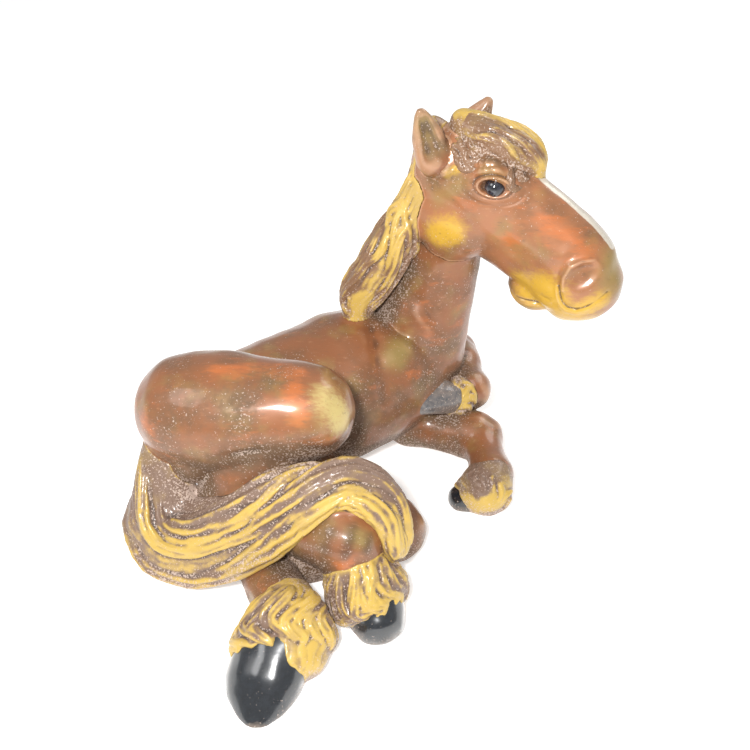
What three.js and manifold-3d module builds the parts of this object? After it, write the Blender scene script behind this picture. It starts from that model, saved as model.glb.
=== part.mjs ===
// A hollow cast bronze horse at rest. The figure lies along +X: the rump is at -X, the chest and the
// folded forelegs are at +X, and its right side, with the stacked hind legs, faces -Y.
import * as THREE from "three";
import { mergeVertices } from "three/addons/utils/BufferGeometryUtils.js";
import Module from "manifold-3d";

const wasm = await Module();
wasm.setup();

// Driving sizes, in millimetres. A girth is a half width, measured from the middle of the limb.
const wall = 4;
const seam = 0.4;
const barrelLength = 170;
const barrelGirth = 64;
const neckLength = 114;
const neckGirth = 30;
const headLength = 150;
const headGirth = 31;
const earLength = 50;
const eyeRadius = 8.5;
const haunchGirth = 47;
const gaskinGirth = 27;
const hindCannonLength = 108;
const hindFetlockGirth = 31;
const hindHoofLength = 62;
const forearmLength = 69;
const foreCannonLength = 56;
const foreLimbGirth = 23;
const hairDepth = 10;
const tailWidth = 33;
const tailLength = 300;
const coreDetail = 0.5;
const ringWall = 3;
const ringLength = 24;
const ringReach = 52;

// Directions, in degrees: a heading turns from +X towards +Y, and a rise lifts above the ground.
const spineHeading = 29;
const headHeading = -20;
const headPitch = 32;

const V = (x, y, z) => new THREE.Vector3(x, y, z);
const radians = THREE.MathUtils.degToRad;
const upward = V(0, 0, 1);

// The point at a length, heading and rise from another one.
function reach(from, length, heading, rise = 0) {
  const level = length * Math.cos(radians(rise));
  const x = level * Math.cos(radians(heading));
  const y = level * Math.sin(radians(heading));
  return V(x, y, length * Math.sin(radians(rise))).add(from);
}

// ---------------------------------------------------------------------------------------------
// Clay forms
// ---------------------------------------------------------------------------------------------

// Turns a closed geometry into a solid that can be joined and cut.
function solid(geometry) {
  const bare = geometry.clone();
  bare.deleteAttribute("normal");
  bare.deleteAttribute("uv");
  const merged = mergeVertices(bare, 1e-4);
  const corners = merged.index.array;
  const faces = [];
  for (let i = 0; i < corners.length; i += 3) {
    const [a, b, c] = corners.slice(i, i + 3);
    if (a !== b && b !== c && c !== a) faces.push(a, b, c);
  }
  const mesh = new wasm.Mesh({
    numProp: 3,
    vertProperties: new Float32Array(merged.attributes.position.array),
    triVerts: new Uint32Array(faces),
  });
  return new wasm.Manifold(mesh);
}

// A limb: a capsule whose straight middle follows a curve through the stations. A station is
// [place, half width, half depth], and the depth is measured towards the up direction. What comes
// back makes the limb's solid, grown or shrunk all over by an amount.
function limb(stations, { up = upward, sides = 12, steps = 7, caps = 2 } = {}) {
  const line = new THREE.CatmullRomCurve3(stations.map((s) => s[0]));
  const girth = new THREE.CatmullRomCurve3(stations.map((s) => V(s[1], s[2] ?? s[1], 0)));
  return (grow = 0, detail = 1) => {
    const rings = Math.round(steps * detail);
    const capsule = new THREE.CapsuleGeometry(1, steps, caps, Math.round(sides * detail), rings);
    const places = capsule.getAttribute("position");
    const v = V(0, 0, 0);
    for (let i = 0; i < places.count; i++) {
      v.fromBufferAttribute(places, i);
      const middle = THREE.MathUtils.clamp(v.y, -steps / 2, steps / 2);
      const t = middle / steps + 0.5;
      const tangent = line.getTangent(t);
      const depth = up.clone().addScaledVector(tangent, -up.dot(tangent)).normalize();
      const width = tangent.clone().cross(depth);
      const size = girth.getPoint(t);
      const point = line.getPoint(t);
      point.addScaledVector(tangent, (v.y - middle) * ((size.x + size.y) / 2 + grow));
      point.addScaledVector(width, v.x * (size.x + grow));
      point.addScaledVector(depth, v.z * (size.y + grow));
      places.setXYZ(i, point.x, point.y, point.z);
    }
    return solid(capsule);
  };
}

// A ball with its own three half sizes, turned by a matrix.
function ball(place, sizes, turn = new THREE.Matrix4(), sides = 12) {
  return (grow = 0, detail = 1) => {
    const around = Math.round(sides * detail);
    const sphere = new THREE.SphereGeometry(1, around, Math.round(around * 0.6));
    sphere.scale(...sizes.map((size) => size + grow));
    sphere.applyMatrix4(turn);
    sphere.translate(place.x, place.y, place.z);
    return solid(sphere);
  };
}

// ---------------------------------------------------------------------------------------------
// Armature: where the joints of the body are
// ---------------------------------------------------------------------------------------------

const pelvis = V(-112, 18, 78);
const alongSpine = (share, height) => {
  const point = reach(pelvis, share * barrelLength, spineHeading);
  return V(point.x, point.y, height);
};
const loin = alongSpine(0.2, 80);
const midriff = alongSpine(0.5, 68);
const chest = alongSpine(0.86, 74);
const breast = alongSpine(1, 84);

const neckRoot = reach(breast, 34, -20, 82);
const throat = reach(neckRoot, neckLength * 0.44, 18, 74);
const nape = reach(throat, neckLength * 0.44, 0, 82);

const skull = reach(nape, 37, -38, 66);
const headFrame = new THREE.Matrix4()
  .makeRotationZ(radians(headHeading))
  .multiply(new THREE.Matrix4().makeRotationY(radians(headPitch)));
const headTop = V(0, 0, 1).transformDirection(headFrame);

// A point of the head: forward as a share of its length, then left and up in millimetres.
const inHead = (share, left, up) => V(share * headLength, left, up).applyMatrix4(headFrame).add(skull);

const rightButtock = reach(pelvis, 75, 239, 36);
const rightHip = reach(rightButtock, 28, -8, 3);
const rightThigh = reach(rightHip, 32, -8, 6);
const rightStifle = reach(rightThigh, 31, -4, 4);
const rightHock = reach(rightStifle, 104, 196, -48);
const rightFetlock = reach(rightHock, hindCannonLength, -26, 4);

const leftHip = reach(pelvis, 36, 8, -60);
const leftKneeBend = reach(leftHip, 70, -38, -19);
const leftStifle = reach(leftKneeBend, 74, -38, -5);
const leftHock = reach(leftStifle, 112, 196, -2);
const leftFetlock = reach(leftHock, 56, -66, 11);

const rightElbow = reach(chest, 56, -58, -63);
const rightKnee = reach(rightElbow, forearmLength, -18, -2);
const rightForeFetlock = reach(rightKnee, foreCannonLength, -85, -1);
const leftElbow = reach(chest, 58, 75, -34);
const leftKnee = reach(leftElbow, forearmLength * 0.75, 16, -3);
const leftForeFetlock = reach(leftKnee, foreCannonLength * 1.27, -80, 9);

// ---------------------------------------------------------------------------------------------
// Pieces, each with the forms that make it
// ---------------------------------------------------------------------------------------------

const head = () => [
  limb([
    [inHead(-0.13, 0, 8), headGirth - 4, headGirth + 7],
    [inHead(0.08, 0, 4), headGirth, headGirth + 13],
    [inHead(0.33, 0, 4), headGirth - 4, headGirth + 13],
    [inHead(0.6, 0, 5), headGirth - 3, headGirth + 11],
    [inHead(0.75, 0, 1), headGirth + 1, headGirth + 9],
    [inHead(0.83, 0, -2), headGirth - 1, headGirth + 3],
  ], { up: headTop, sides: 16, steps: 8, caps: 3 }),
  ball(inHead(0.07, -13, -23), [35, 21, 36], headFrame),
  ball(inHead(0.07, 13, -23), [35, 21, 36], headFrame),
  ball(inHead(0.65, 0, -38), [22, 17, 14], headFrame),
  ball(inHead(0.83, 0, -22), [20, 22, 19], headFrame),
  ball(inHead(0.06, -19, 34), [17, 10, 13], headFrame),
  ball(inHead(0.06, 19, 34), [17, 10, 13], headFrame),
];

const neck = () => [
  limb([
    [breast, 44, 46],
    [neckRoot, neckGirth + 10, neckGirth + 14],
    [throat, neckGirth, neckGirth + 6],
    [nape, neckGirth - 3, neckGirth + 2],
    [inHead(-0.05, 0, 4), 24, 26],
  ], { up: V(1, -0.3, 0), sides: 16 }),
];

const barrel = () => [
  limb([
    [pelvis, barrelGirth - 14, barrelGirth - 16],
    [loin, barrelGirth - 12, barrelGirth - 12],
    [midriff, barrelGirth, barrelGirth + 6],
    [chest, barrelGirth - 6, barrelGirth - 4],
    [breast, barrelGirth - 18, barrelGirth - 14],
  ], { sides: 20, steps: 8, caps: 3 }),
  limb([[reach(chest, 36, -83, 42), 26], [reach(chest, 30, -64, -22), 24]], { steps: 3 }),
];

const rightHaunch = () => [
  limb([
    [rightButtock, haunchGirth - 1],
    [rightHip, haunchGirth + 1],
    [rightThigh, haunchGirth - 5],
    [rightStifle, haunchGirth - 8],
  ], { sides: 18, caps: 3 }),
];

const rightGaskin = () => [
  ball(reach(rightButtock, 40, 274, -49), [18, 16, 20]),
  limb([
    [reach(rightStifle, 12, 0, -90), gaskinGirth + 1],
    [reach(rightStifle, 63, 200, -42), gaskinGirth + 3],
    [rightHock, gaskinGirth - 1],
  ], { steps: 5 }),
];

const rightHindCannon = () => [
  limb([
    [rightHock, hindFetlockGirth - 9],
    [reach(rightHock, hindCannonLength * 0.5, -26, 2), hindFetlockGirth - 8],
    [rightFetlock, hindFetlockGirth],
  ], { sides: 14, steps: 5, caps: 3 }),
];

const rightHindFeather = () => [
  limb([
    [reach(rightFetlock, 20, -66, -46), 24],
    [reach(rightFetlock, 50, -52, -50), 31, 24],
  ], { steps: 4 }),
];

const rightHindHoof = () => [
  limb([
    [reach(rightFetlock, 56, -52, -52), 22],
    [reach(rightFetlock, 65, -57, -46), 23],
  ], { steps: 3 }),
];

const leftHaunch = () => [
  limb([
    [leftHip, haunchGirth - 1],
    [leftKneeBend, haunchGirth - 20],
    [leftStifle, haunchGirth - 19],
  ], { sides: 16 }),
];

const leftGaskin = () => [
  limb([
    [reach(leftStifle, 12, 190), gaskinGirth - 3],
    [reach(leftStifle, 66, 198), gaskinGirth - 1],
    [leftHock, gaskinGirth - 4],
  ], { steps: 4 }),
];

const leftHindCannon = () => [
  limb([
    [leftHock, gaskinGirth - 7],
    [leftFetlock, gaskinGirth - 3],
  ], { steps: 3 }),
];

const leftHindFeather = () => [
  limb([
    [reach(leftFetlock, 8, -70, 0), 27],
    [reach(leftFetlock, 33, -80, -12), 34, 27],
  ], { steps: 4 }),
];

const leftHindHoof = () => [
  limb([
    [reach(leftFetlock, 34, -98, -12), 29, 25],
    [reach(leftFetlock, 40 + hindHoofLength * 0.33, -102, -18), 30, 23],
    [reach(leftFetlock, 40 + hindHoofLength, -101, -21), 7, 6],
  ], { sides: 14, steps: 6, caps: 3, up: V(-0.3, 0, 1) }),
];

const rightForearm = () => [
  limb([
    [rightElbow, foreLimbGirth, foreLimbGirth + 3],
    [reach(rightElbow, forearmLength * 0.5, -18, -2), foreLimbGirth - 2],
    [rightKnee, foreLimbGirth, foreLimbGirth + 1],
  ], { steps: 5 }),
];

const rightForeCannon = () => [
  limb([
    [rightKnee, foreLimbGirth - 2],
    [reach(rightKnee, foreCannonLength * 0.5, -80, -2), foreLimbGirth - 6],
    [reach(rightKnee, foreCannonLength * 0.9, -82, -1), foreLimbGirth - 2],
  ], { steps: 5 }),
];

const rightForeFeather = () => [
  limb([
    [rightForeFetlock, foreLimbGirth - 1],
    [reach(rightForeFetlock, 9, -118, -24), foreLimbGirth + 1],
  ], { steps: 3 }),
];

const rightForeHoof = () => [
  limb([
    [reach(rightForeFetlock, 16, -150, -50), foreLimbGirth - 6],
    [reach(rightForeFetlock, 28, -160, -30), foreLimbGirth - 9],
  ], { steps: 3 }),
];

const leftForearm = () => [
  limb([
    [leftElbow, foreLimbGirth + 3],
    [leftKnee, foreLimbGirth + 2],
  ], { steps: 4 }),
];

const leftForeCannon = () => [
  limb([
    [leftKnee, foreLimbGirth - 2],
    [reach(leftKnee, foreCannonLength * 0.55, -80, 20), foreLimbGirth - 3],
    [reach(leftKnee, foreCannonLength * 0.92, -80, 12), foreLimbGirth - 8],
    [leftForeFetlock, foreLimbGirth - 4],
  ], { steps: 5 }),
];

const leftForeFeather = () => [
  ball(reach(leftForeFetlock, 21, 224, 12), [18, 17, 16]),
];

const leftForeHoof = () => [
  limb([
    [reach(leftForeFetlock, 37, 223, 16), foreLimbGirth - 8],
    [reach(leftForeFetlock, 61, 220, 13), foreLimbGirth - 13],
  ], { steps: 3 }),
];

const mane = () => [
  limb([
    [inHead(-0.32, 0, 22), 14, hairDepth + 2],
    [reach(nape, 31, 190, 34), 18, hairDepth + 5],
    [reach(nape, 48, 194, -18), 21, hairDepth + 7],
    [reach(throat, 66, 194, -8), 22, hairDepth + 6],
    [reach(throat, 84, 198, -26), 15, hairDepth],
  ], { up: V(1, -0.4, 0), steps: 8 }),
];

const forelock = () => [
  limb([
    [inHead(-0.22, 0, 45), 13, hairDepth],
    [inHead(-0.05, 0, 52), 22, hairDepth],
    [inHead(0.09, 2, 56), 21, hairDepth],
    [inHead(0.2, 3, 54), 14, hairDepth - 1],
    [inHead(0.25, 3, 47), 7, hairDepth - 4],
  ], { up: headTop, steps: 6 }),
];

const tailRoot = reach(rightButtock, 40, 212, -46);
const tailFall = reach(tailRoot, 64, -94, -58);
const tail = () => {
  const bends = [
    [0.1, -26, 0],
    [0.16, -10, 28],
    [0.155, 0, 31],
    [0.14, 7, 18],
    [0.11, -14, -32],
    [0.11, -44, -66],
  ];
  const girths = [[tailWidth + 1, hairDepth + 8], [tailWidth, hairDepth + 5], [tailWidth - 4, hairDepth + 4],
    [tailWidth - 9, hairDepth + 3], [tailWidth - 14, hairDepth + 3], [tailWidth - 16, hairDepth + 2],
    [tailWidth - 21, hairDepth]];
  const places = [tailFall];
  for (const [share, heading, rise] of bends) {
    places.push(reach(places.at(-1), share * tailLength, heading, rise));
  }
  const stations = places.map((place, i) => [place, ...girths[i]]);
  const facing = V(0, -0.8, 0.6);
  return [
    limb([[tailRoot, 19, hairDepth + 4], [tailFall, 31, hairDepth + 8]], { up: facing, steps: 3 }),
    limb(stations, { up: facing, steps: 12 }),
  ];
};

// An ear: which side, how far back its root is, and the direction from the root to the tip.
const ear = (side, back, towards) => () => {
  const root = inHead(back, side * 22, 14);
  const toTip = V(...towards).transformDirection(headFrame).multiplyScalar(earLength);
  const station = (share, width, depth) => [root.clone().addScaledVector(toTip, share), width, depth];
  const stations = [station(0, 14, 10), station(0.45, 13, 8), station(0.85, 5, 4)];
  const face = V(0, side * 0.74, 0.67).transformDirection(headFrame);
  return [limb(stations, { up: face, steps: 4 })];
};

const eye = (side) => () => [
  ball(inHead(0.107, side * 23.5, 32), [eyeRadius, eyeRadius, eyeRadius], headFrame),
];

// ---------------------------------------------------------------------------------------------
// Patinas
// ---------------------------------------------------------------------------------------------

const patina = (color, roughness, metalness) => () =>
  new THREE.MeshStandardMaterial({ color, roughness, metalness });
const chestnut = patina(0x9c5f3c, 0.32, 0.35);
const flaxen = patina(0xc4a23c, 0.42, 0.3);
const blackened = patina(0x23252a, 0.28, 0.4);
const glossBlack = patina(0x0c0c10, 0.08, 0);
const rawBronze = patina(0x8a6a3a, 0.5, 0.9);

// ---------------------------------------------------------------------------------------------
// Casting: a piece is cut by every piece that is listed before it, and the hollow ones share a core
// ---------------------------------------------------------------------------------------------

const castings = [
  { name: "eye_right", forms: eye(-1), finish: glossBlack },
  { name: "eye_left", forms: eye(1), finish: glossBlack },
  { name: "head", forms: head, finish: chestnut, hollow: true },
  { name: "neck", forms: neck, finish: chestnut, hollow: true },
  { name: "barrel", forms: barrel, finish: chestnut, hollow: true },
  { name: "haunch_right", forms: rightHaunch, finish: chestnut, hollow: true },
  { name: "tail", forms: tail, finish: flaxen, hollow: true },
  { name: "gaskin_right", forms: rightGaskin, finish: chestnut, hollow: true },
  { name: "hind_cannon_right", forms: rightHindCannon, finish: chestnut, hollow: true },
  { name: "haunch_left", forms: leftHaunch, finish: chestnut, hollow: true },
  { name: "gaskin_left", forms: leftGaskin, finish: chestnut, hollow: true },
  { name: "hind_cannon_left", forms: leftHindCannon, finish: chestnut, hollow: true },
  { name: "hind_hoof_right", forms: rightHindHoof, finish: blackened },
  { name: "hind_hoof_left", forms: leftHindHoof, finish: blackened },
  { name: "hind_feather_right", forms: rightHindFeather, finish: flaxen },
  { name: "hind_feather_left", forms: leftHindFeather, finish: flaxen },
  { name: "forearm_right", forms: rightForearm, finish: chestnut, hollow: true },
  { name: "fore_cannon_right", forms: rightForeCannon, finish: chestnut },
  { name: "fore_hoof_right", forms: rightForeHoof, finish: blackened },
  { name: "fore_feather_right", forms: rightForeFeather, finish: flaxen },
  { name: "forearm_left", forms: leftForearm, finish: chestnut, hollow: true },
  { name: "fore_feather_left", forms: leftForeFeather, finish: flaxen },
  { name: "fore_cannon_left", forms: leftForeCannon, finish: chestnut },
  { name: "fore_hoof_left", forms: leftForeHoof, finish: blackened },
  { name: "mane", forms: mane, finish: flaxen },
  { name: "forelock", forms: forelock, finish: flaxen },
  { name: "ear_right", forms: ear(-1, -0.22, [-0.7, -0.16, 0.68]), finish: chestnut },
  { name: "ear_left", forms: ear(1, -0.16, [-0.06, 0.2, 0.94]), finish: chestnut },
];

const joined = (solids) => solids.reduce((all, one) => all.add(one));
const slab = (below) => solid(new THREE.BoxGeometry(2000, 2000, 600).translate(0, 0, below - 300));

// The biggest body of a solid: slivers that a neighbour's cut leaves behind are dropped.
const mainBody = (shape) => shape.decompose().reduce((a, b) => (a.volume() > b.volume() ? a : b));

function geometryOf(shape) {
  const mesh = shape.getMesh();
  const geometry = new THREE.BufferGeometry();
  geometry.setAttribute("position", new THREE.BufferAttribute(mesh.vertProperties, 3));
  geometry.setIndex(new THREE.BufferAttribute(mesh.triVerts, 1));
  geometry.computeVertexNormals();
  return geometry;
}

function cast() {
  const hollows = castings.filter((casting) => casting.hollow).flatMap((casting) => casting.forms());
  const core = joined(hollows.map((form) => form(-wall, coreDetail))).subtract(slab(wall));
  const ground = slab(0);
  const figure = new THREE.Group();
  const taken = [ground];
  for (const casting of castings) {
    const forms = casting.forms();
    let shape = joined(forms.map((form) => form()));
    for (const space of taken) shape = shape.subtract(space);
    if (casting.hollow) shape = shape.subtract(core);
    taken.push(joined(forms.map((form) => form(seam))));
    const mesh = new THREE.Mesh(geometryOf(mainBody(shape)), casting.finish());
    mesh.name = casting.name;
    figure.add(mesh);
  }
  return figure;
}

// A short sleeve inside the hollow, across the joint between two castings. It follows the inner
// wall, and holds the two in line while they are welded.
function backingRing(name, middle, along) {
  const hollows = castings.filter((casting) => casting.hollow).flatMap((casting) => casting.forms());
  const skin = (depth) => joined(hollows.map((form) => form(-wall - depth, coreDetail)));
  const band = new THREE.CylinderGeometry(ringReach, ringReach, ringLength, 24);
  band.applyQuaternion(new THREE.Quaternion().setFromUnitVectors(V(0, 1, 0), along.clone().normalize()));
  band.translate(middle.x, middle.y, middle.z);
  const sleeve = solid(band).intersect(skin(seam)).subtract(skin(seam + ringWall));
  const mesh = new THREE.Mesh(geometryOf(mainBody(sleeve)), rawBronze());
  mesh.name = name;
  return mesh;
}

// The origin is on the ground, under the middle of the figure's box.
function centred(figure) {
  const box = new THREE.Box3().setFromObject(figure);
  const middle = box.getCenter(V(0, 0, 0));
  figure.position.set(-middle.x, -middle.y, -box.min.z);
  return new THREE.Group().add(figure);
}

const figure = cast();
figure.add(backingRing("neck_backing_ring", reach(neckRoot, 14, 18, 80), throat.clone().sub(neckRoot)));
figure.add(backingRing("head_backing_ring", reach(nape, 4, 0, -90), nape.clone().sub(throat)));

export default centred(figure);
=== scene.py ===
# %% [markdown]
# # A bronze horse at rest
# The real figure is a hollow lost-wax bronze. It is cast in sections, the sections are welded, the
# welds are chased until the skin runs on without a break, and then the patina and the lacquer go on.
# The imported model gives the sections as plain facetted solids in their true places. This lesson
# puts a fine modelled skin, combed hair, glossy eyes and a layered patina over them.

# %% Load the sections
import math
import random
import bpy
import numpy as np
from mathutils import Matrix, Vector
from mathutils.bvhtree import BVHTree
from mathutils.kdtree import KDTree


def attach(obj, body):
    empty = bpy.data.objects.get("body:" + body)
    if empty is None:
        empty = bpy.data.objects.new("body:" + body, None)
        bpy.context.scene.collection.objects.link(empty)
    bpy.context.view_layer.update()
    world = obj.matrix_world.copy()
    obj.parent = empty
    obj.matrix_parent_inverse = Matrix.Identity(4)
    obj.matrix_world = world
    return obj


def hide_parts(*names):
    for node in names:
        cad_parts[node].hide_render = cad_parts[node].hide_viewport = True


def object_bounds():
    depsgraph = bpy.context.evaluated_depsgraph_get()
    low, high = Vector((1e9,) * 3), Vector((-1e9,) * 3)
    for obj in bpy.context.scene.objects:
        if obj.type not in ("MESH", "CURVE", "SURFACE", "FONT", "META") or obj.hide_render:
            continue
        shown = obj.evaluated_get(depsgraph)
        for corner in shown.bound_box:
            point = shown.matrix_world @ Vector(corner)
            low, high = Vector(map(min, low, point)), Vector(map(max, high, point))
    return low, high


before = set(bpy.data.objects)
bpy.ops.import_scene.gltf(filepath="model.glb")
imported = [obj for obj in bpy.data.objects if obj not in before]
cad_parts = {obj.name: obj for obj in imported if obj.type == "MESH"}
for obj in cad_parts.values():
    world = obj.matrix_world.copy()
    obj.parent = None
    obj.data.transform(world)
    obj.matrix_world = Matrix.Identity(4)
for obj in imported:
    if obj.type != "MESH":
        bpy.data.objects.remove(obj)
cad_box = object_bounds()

MM = 0.001
scene = bpy.context.scene
print("sections:", len(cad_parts), "box:", [round(float(c), 3) for c in cad_box[1]])

# %% [markdown]
# The stage is a pale floor under a pale sky, a small bright lamp beside the lens, which gives the
# lacquer its hard little highlights, and two broad soft panels that open up the shadows.

# %% Camera, floor and lights
FOCAL_LENGTH = 45.6
EYE_HEIGHT_ANGLE = math.radians(38)
EYE_DISTANCE = 770 * MM
low, high = (Vector(corner) for corner in cad_box)
LOOK_AT = Vector((-1.7 * MM, 32 * MM, 0.4 * (low.z + high.z)))


def aimed(piece, target):
    piece.rotation_euler = (Vector(target) - piece.location).to_track_quat("-Z", "Y").to_euler()


lens = bpy.data.cameras.new("studio_camera")
lens.lens = FOCAL_LENGTH
lens.sensor_width = 36
camera = bpy.data.objects.new("studio_camera", lens)
scene.collection.objects.link(camera)
sight = Vector((0, -math.cos(EYE_HEIGHT_ANGLE), math.sin(EYE_HEIGHT_ANGLE)))
camera.location = LOOK_AT + EYE_DISTANCE * sight
aimed(camera, LOOK_AT)
scene.camera = camera


def lamp(name, place, size, watts, colour=(1, 1, 1)):
    light = bpy.data.lights.new(name, "AREA")
    light.shape = "DISK"
    light.size = size
    light.energy = watts
    light.color = colour
    holder = bpy.data.objects.new(name, light)
    scene.collection.objects.link(holder)
    holder.location = place
    aimed(holder, LOOK_AT)


lamp("lens_lamp", camera.location + Vector((-0.09, 0.02, 0.06)), 0.08, 7.0)
lamp("left_panel", (-1.1, -0.5, 1.3), 0.7, 6)
lamp("back_panel", (0.9, 0.9, 1.2), 1.0, 9)

bpy.ops.mesh.primitive_plane_add(size=12)
floor = bpy.context.object
floor.name = "studio_floor"
paper = bpy.data.materials.new("studio_paper")
paper.use_nodes = True
paper.node_tree.nodes["Principled BSDF"].inputs["Base Color"].default_value = (0.93, 0.93, 0.92, 1)
paper.node_tree.nodes["Principled BSDF"].inputs["Roughness"].default_value = 0.9
paper.node_tree.nodes["Principled BSDF"].inputs["Emission Color"].default_value = (1, 1, 1, 1)
paper.node_tree.nodes["Principled BSDF"].inputs["Emission Strength"].default_value = 0.4
floor.data.materials.append(paper)
sky = bpy.data.worlds.new("studio_sky")
sky.use_nodes = True
sky.node_tree.nodes["Background"].inputs["Color"].default_value = (1, 1, 1, 1)
sky.node_tree.nodes["Background"].inputs["Strength"].default_value = 0.5
scene.world = sky
scene.view_settings.view_transform = "Standard"
print("camera at", [round(c, 3) for c in camera.location])

# %% [markdown]
# A maker keeps a few tools at hand: one that picks pieces up, one that takes a clean copy of a
# section, one that puts a modifier on and applies it, and a few that read and write the points of a
# mesh all at once. Averaging each point with its neighbours is the softest tool: a few rounds blur a
# mark, many rounds leave only the broad form.

# %% Hand tools
def pick(*pieces):
    bpy.ops.object.select_all(action="DESELECT")
    for piece in pieces:
        piece.select_set(True)
    bpy.context.view_layer.objects.active = pieces[0]


def copy_of(node):
    copy = bpy.data.objects.new(node + "_copy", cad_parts[node].data.copy())
    scene.collection.objects.link(copy)
    copy.data.materials.clear()
    pick(copy)
    bpy.ops.object.mode_set(mode="EDIT")
    bpy.ops.mesh.select_all(action="SELECT")
    bpy.ops.mesh.remove_doubles(threshold=0.001 * MM)
    bpy.ops.object.mode_set(mode="OBJECT")
    return copy


def joined(pieces, name):
    pick(*pieces)
    if len(pieces) > 1:
        bpy.ops.object.join()
    pieces[0].name = name
    pieces[0].data.name = name
    return pieces[0]


def finish_with(piece, kind, **settings):
    modifier = piece.modifiers.new(kind.title(), kind)
    for key, value in settings.items():
        setattr(modifier, key, value)
    pick(piece)
    bpy.ops.object.modifier_apply(modifier=modifier.name)


def points(piece):
    flat = np.empty(len(piece.data.vertices) * 3, np.float32)
    piece.data.vertices.foreach_get("co", flat)
    return flat.reshape(-1, 3).astype(float)


def set_points(piece, places):
    piece.data.vertices.foreach_set("co", places.astype(np.float32).ravel())
    piece.data.update()


def normals(piece):
    flat = np.empty(len(piece.data.vertices) * 3, np.float32)
    piece.data.vertex_normals.foreach_get("vector", flat)
    return flat.reshape(-1, 3).astype(float)


def edges(piece):
    flat = np.empty(len(piece.data.edges) * 2, np.int32)
    piece.data.edges.foreach_get("vertices", flat)
    return flat.reshape(-1, 2)


def largest_lump(piece):
    pick(piece)
    bpy.ops.mesh.separate(type="LOOSE")
    lumps = sorted(bpy.context.selected_objects, key=lambda lump: -len(lump.data.vertices))
    for lump in lumps[1:]:
        bpy.data.objects.remove(lump)
    return lumps[0]


def weigh(piece, name, weights):
    group = piece.vertex_groups.new(name=name)
    steps = np.round(np.clip(weights, 0, 1) * 20).astype(int)
    for step in range(1, 21):
        group.add(np.flatnonzero(steps == step).tolist(), step / 20, "REPLACE")
    return name


def paint(piece, name, values):
    layer = piece.data.attributes.new(name, "FLOAT", "POINT")
    layer.data.foreach_set("value", values.astype(np.float32))


def averaged(values, links, rounds):
    count = np.bincount(links.ravel(), minlength=len(values)).clip(1)[:, None]
    flat = values.reshape(len(values), -1).astype(float)
    for _ in range(rounds):
        total = np.empty_like(flat)
        for axis in range(flat.shape[1]):
            column = flat[:, axis]
            total[:, axis] = (np.bincount(links[:, 0], column[links[:, 1]], len(values))
                              + np.bincount(links[:, 1], column[links[:, 0]], len(values)))
        flat = 0.5 * flat + 0.5 * total / count
    return flat.reshape(values.shape)


# %% [markdown]
# The outer sections are copied and covered with one even net of small faces, as a sculptor pulls one
# skin of wax over the joined forms. It is eased out a little and smoothed: broadly on the barrel and
# the haunches, lightly on the legs and the face, and least in the creases between them.

# %% One skin over all the sections
RINGS = ["neck_backing_ring", "head_backing_ring"]
SECTIONS = sorted(set(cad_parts) - set(RINGS))
BROAD = {"barrel": 1.0, "haunch_right": 1.0, "haunch_left": 0.8, "neck": 0.7, "head": 0.45,
         "tail": 0.7, "mane": 0.7, "forelock": 0.5, "ear_right": 0.1, "ear_left": 0.1,
         "eye_right": 0.2, "eye_left": 0.2}
NARROW = 0.4
SKIN_NET = 1.66 * MM
SKIN_SWELL = 0.6 * MM
CREASE_START = 0.2
CREASE_KEEP = 0.85

corners = []
faces = []
face_node = []
for index, node in enumerate(SECTIONS):
    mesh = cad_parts[node].data
    start = len(corners)
    corners.extend(vertex.co.copy() for vertex in mesh.vertices)
    faces.extend([start + v for v in polygon.vertices] for polygon in mesh.polygons)
    face_node.extend([index] * len(mesh.polygons))
section_tree = BVHTree.FromPolygons(corners, faces)

skin = joined([copy_of(node) for node in SECTIONS], "skin")
finish_with(skin, "REMESH", mode="VOXEL", voxel_size=SKIN_NET, use_smooth_shade=True)
skin = largest_lump(skin)
owner = np.array([face_node[section_tree.find_nearest(Vector(p))[2]] for p in points(skin)])
softness = np.array([BROAD.get(node, NARROW) for node in SECTIONS])[owner]
links = edges(skin)
softness = averaged(softness, links, 40)
places = points(skin)
hollow = ((averaged(places, links, 30) - places) * normals(skin)).sum(1) / MM
crease = averaged(np.clip(hollow - CREASE_START, 0, 1), links, 8)
weigh(skin, "soft", softness * (1 - CREASE_KEEP * crease))
finish_with(skin, "DISPLACE", strength=SKIN_SWELL, mid_level=0)
finish_with(skin, "SMOOTH", factor=0.5, iterations=90, vertex_group="soft")
finish_with(skin, "SMOOTH", factor=0.5, iterations=5)
print("skin net:", len(skin.data.polygons), "faces, deepest crease", round(float(hollow.max()), 1), "mm")

# %% [markdown]
# A hand-modelled skin is never dead flat. A soft cloud pattern, far too shallow to see in the
# outline, breaks up the highlights as the marks of the modelling tool do.

# %% Marks of the modelling tool
TOOL_WIDTH = 22 * MM
TOOL_DEPTH = 1.2 * MM
tool_marks = bpy.data.textures.new("tool_marks", "CLOUDS")
tool_marks.noise_scale = TOOL_WIDTH
tool_marks.noise_depth = 1
finish_with(skin, "DISPLACE", texture=tool_marks, texture_coords="LOCAL", strength=TOOL_DEPTH, mid_level=0.5)
print("tool marks:", round(TOOL_DEPTH / MM, 1), "mm deep")

# %% [markdown]
# Flesh folds where a limb is bent and swells where a muscle lies under the skin. Each fold here is a
# line of places on the figure with a width and a depth, pressed into the skin or drawn out of it.

# %% Folds of the haunch, the shoulder and the neck
def near_line(spots, line):
    nearest = np.full(len(spots), 1e9)
    for start, end in zip(line[:-1], line[1:]):
        start, end = np.array(start, float), np.array(end, float)
        run = end - start
        share = np.clip(((spots - start) @ run) / (run @ run), 0, 1)
        nearest = np.minimum(nearest, np.linalg.norm(spots - start - share[:, None] * run, axis=1))
    return nearest


def fold(spots, line, width, height):
    return height * np.exp(-(near_line(spots, line) / width) ** 2)


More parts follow.
